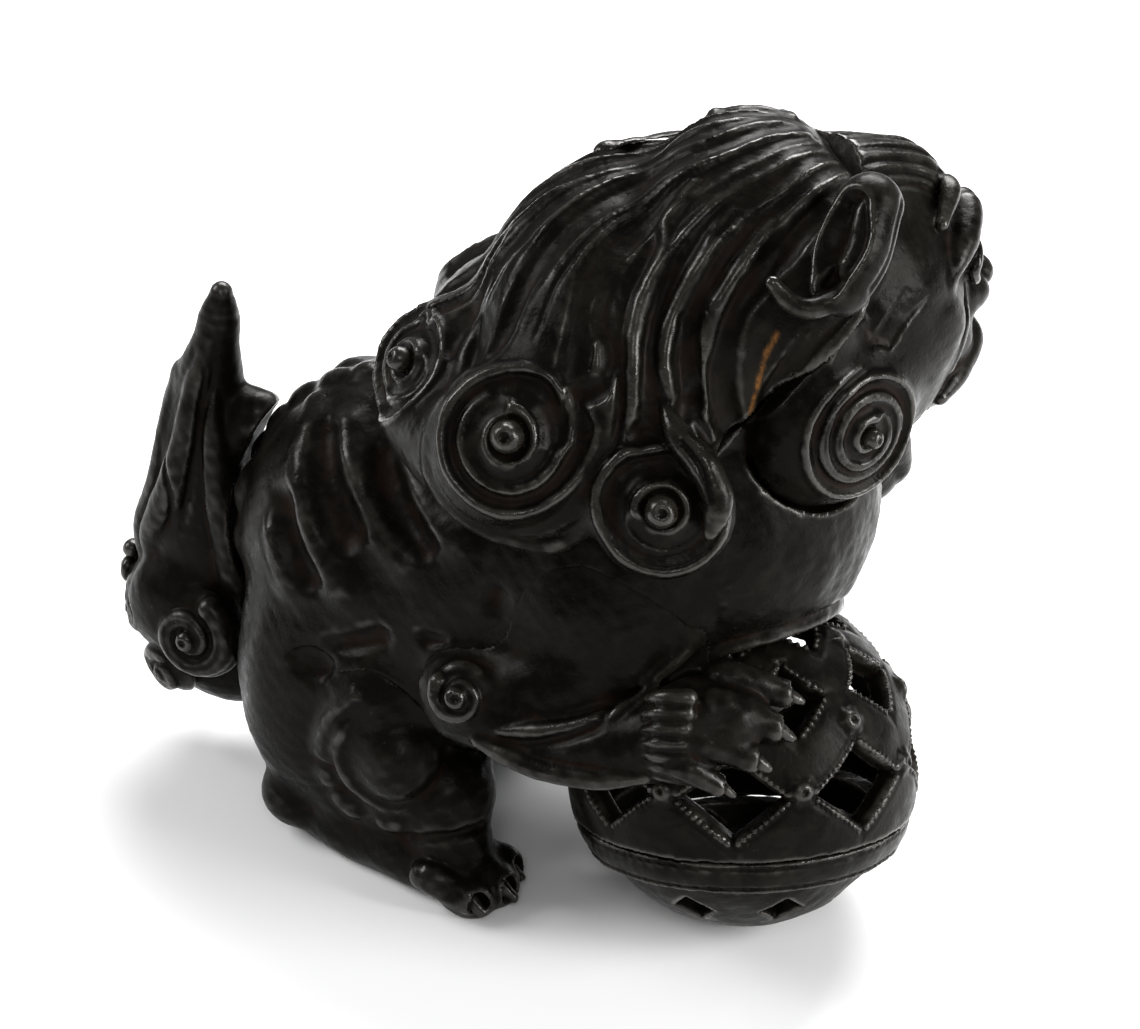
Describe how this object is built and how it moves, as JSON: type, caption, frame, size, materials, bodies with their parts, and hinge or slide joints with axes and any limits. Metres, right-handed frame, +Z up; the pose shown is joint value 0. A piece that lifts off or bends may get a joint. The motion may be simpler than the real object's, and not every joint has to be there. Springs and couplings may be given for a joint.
{
  "type": "foo dog statue",
  "caption": "Seated bronze guardian lion, head turned, forepaw on a pierced ball; hollow body as a censer with a lift-off face cover.",
  "frame": {"origin": "on the surface it stands on, under the middle of the bounding box", "axes": "+X the way the body faces, +Y to the lion's left, +Z up"},
  "size_m": [0.1749, 0.101, 0.158],
  "materials": {
    "bronze_body": "dark brown patinated cast bronze, satin",
    "bronze_head": "dark brown patinated cast bronze, worn brighter on the high points",
    "bronze_mane": "dark brown patinated cast bronze, worn olive on the lock ridges",
    "bronze_legs": "dark brown patinated cast bronze, satin",
    "bronze_tail": "dark brown patinated cast bronze, satin",
    "bronze_ball": "dark brown patinated cast bronze, pierced",
    "bronze_ribbon": "dark brown patinated cast bronze, smooth",
    "bronze_pins": "bare hammered bronze",
    "bronze_plate": "dark cast bronze, rough"
  },
  "bodies": {
    "statue": {"ball_lower": "bronze_ball", "ball_ribbon": "bronze_ribbon", "ball_upper": "bronze_ball", "belly_plate": "bronze_plate", "belly_rivet_1": "bronze_pins", "belly_rivet_2": "bronze_pins", "belly_rivet_3": "bronze_pins", "belly_rivet_4": "bronze_pins", "ear_left": "bronze_head", "ear_right": "bronze_head", "foreleg_left": "bronze_legs", "foreleg_right": "bronze_legs", "hindleg_left": "bronze_legs", "hindleg_right": "bronze_legs", "mane_shell": "bronze_mane", "paw_rivet": "bronze_pins", "tail_plume": "bronze_tail", "tail_tenon": "bronze_pins", "torso_shell": "bronze_body"},
    "cover": {"head_cover": "bronze_head"}
  },
  "joints": [
    {"name": "cover_lift", "type": "slide", "parent": "statue", "child": "cover", "axis": [0.5855, 0.7494, 0.309], "range_m": [0, 0.06]}
  ]
}
